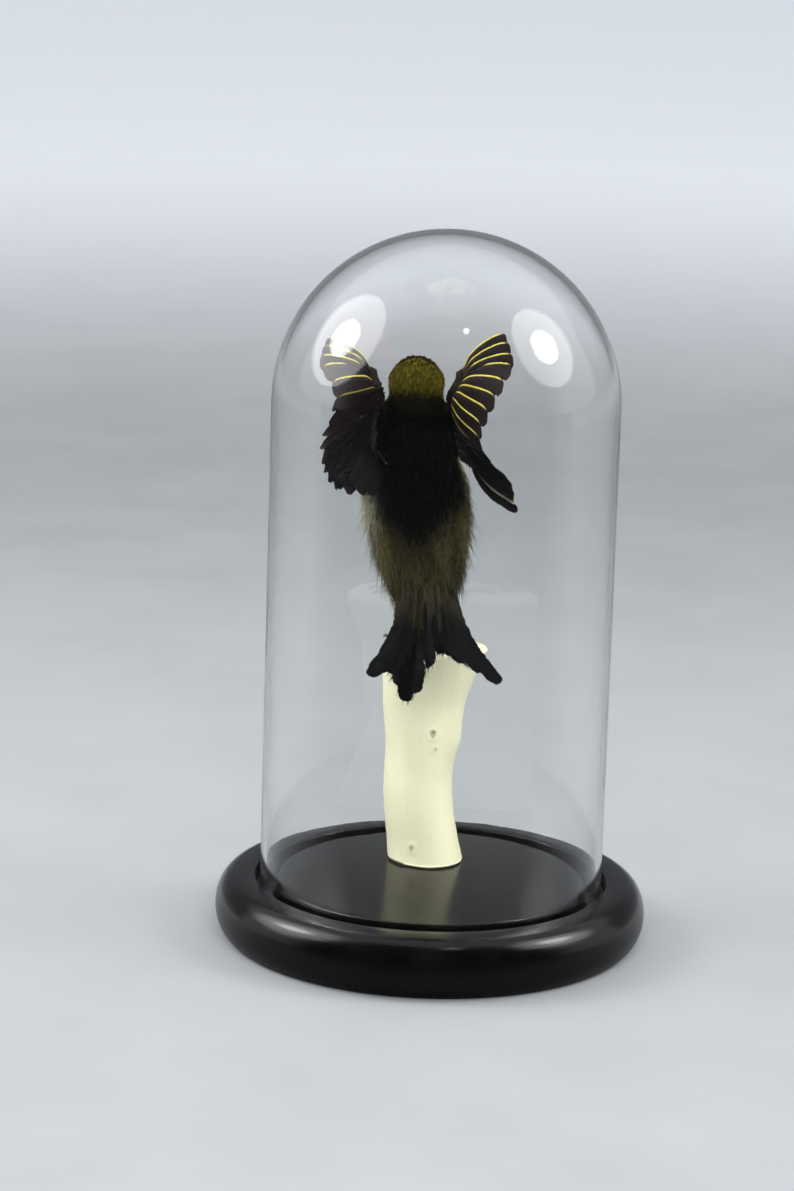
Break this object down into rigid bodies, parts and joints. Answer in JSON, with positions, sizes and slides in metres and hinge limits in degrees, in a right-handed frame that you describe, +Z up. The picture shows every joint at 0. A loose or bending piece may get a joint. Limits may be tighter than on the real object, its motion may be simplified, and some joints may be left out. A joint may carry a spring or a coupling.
{
  "type": "taxidermy songbird under a glass dome",
  "caption": "Small mounted songbird with raised wings, standing on a peeled branch stump on a turned black wooden base under a lift-off glass dome.",
  "frame": {"origin": "middle of the wooden base's underside, on the surface it stands on", "axes": "+Z up along the dome's axis, +Y the way the bird faces, +X to the bird's right"},
  "size_m": [0.1502, 0.1502, 0.249],
  "materials": {
    "base_wood": "satin black paint on turned wood",
    "dome_glass": "clear, thin, polished",
    "stump_wood": "bare peeled branch, matt, pale",
    "crown_plumage": "short olive-gold feathers",
    "body_plumage": "soft olive-grey and blackish feathers",
    "flight_feathers": "smooth dark vanes with yellow edges",
    "bill_horn": "waxy red horn, darker at the root",
    "eye_glass": "dark brown glass eye",
    "leg_skin": "scaled, dry, satin",
    "claw_horn": "smooth dark horn"
  },
  "bodies": {
    "mount": {"base": "base_wood", "bill_lower": "bill_horn", "bill_upper": "bill_horn", "claw_left_1": "claw_horn", "claw_left_2": "claw_horn", "claw_left_3": "claw_horn", "claw_left_4": "claw_horn", "claw_right_1": "claw_horn", "claw_right_2": "claw_horn", "claw_right_3": "claw_horn", "claw_right_4": "claw_horn", "eye_left": "eye_glass", "eye_right": "eye_glass", "foot_left": "leg_skin", "foot_right": "leg_skin", "head": "crown_plumage", "neck": "body_plumage", "shank_left": "leg_skin", "shank_right": "leg_skin", "stump": "stump_wood", "tail": "flight_feathers", "thigh_left": "body_plumage", "thigh_right": "body_plumage", "trunk": "body_plumage", "wing_left_arm": "body_plumage", "wing_left_primaries": "flight_feathers", "wing_left_secondaries": "flight_feathers", "wing_right_arm": "body_plumage", "wing_right_primaries": "flight_feathers", "wing_right_secondaries": "flight_feathers"},
    "dome": {"dome": "dome_glass"}
  },
  "joints": [
    {"name": "dome_lift", "type": "slide", "parent": "mount", "child": "dome", "axis": [0, 0, 1], "range_m": [0, 0.24]}
  ]
}
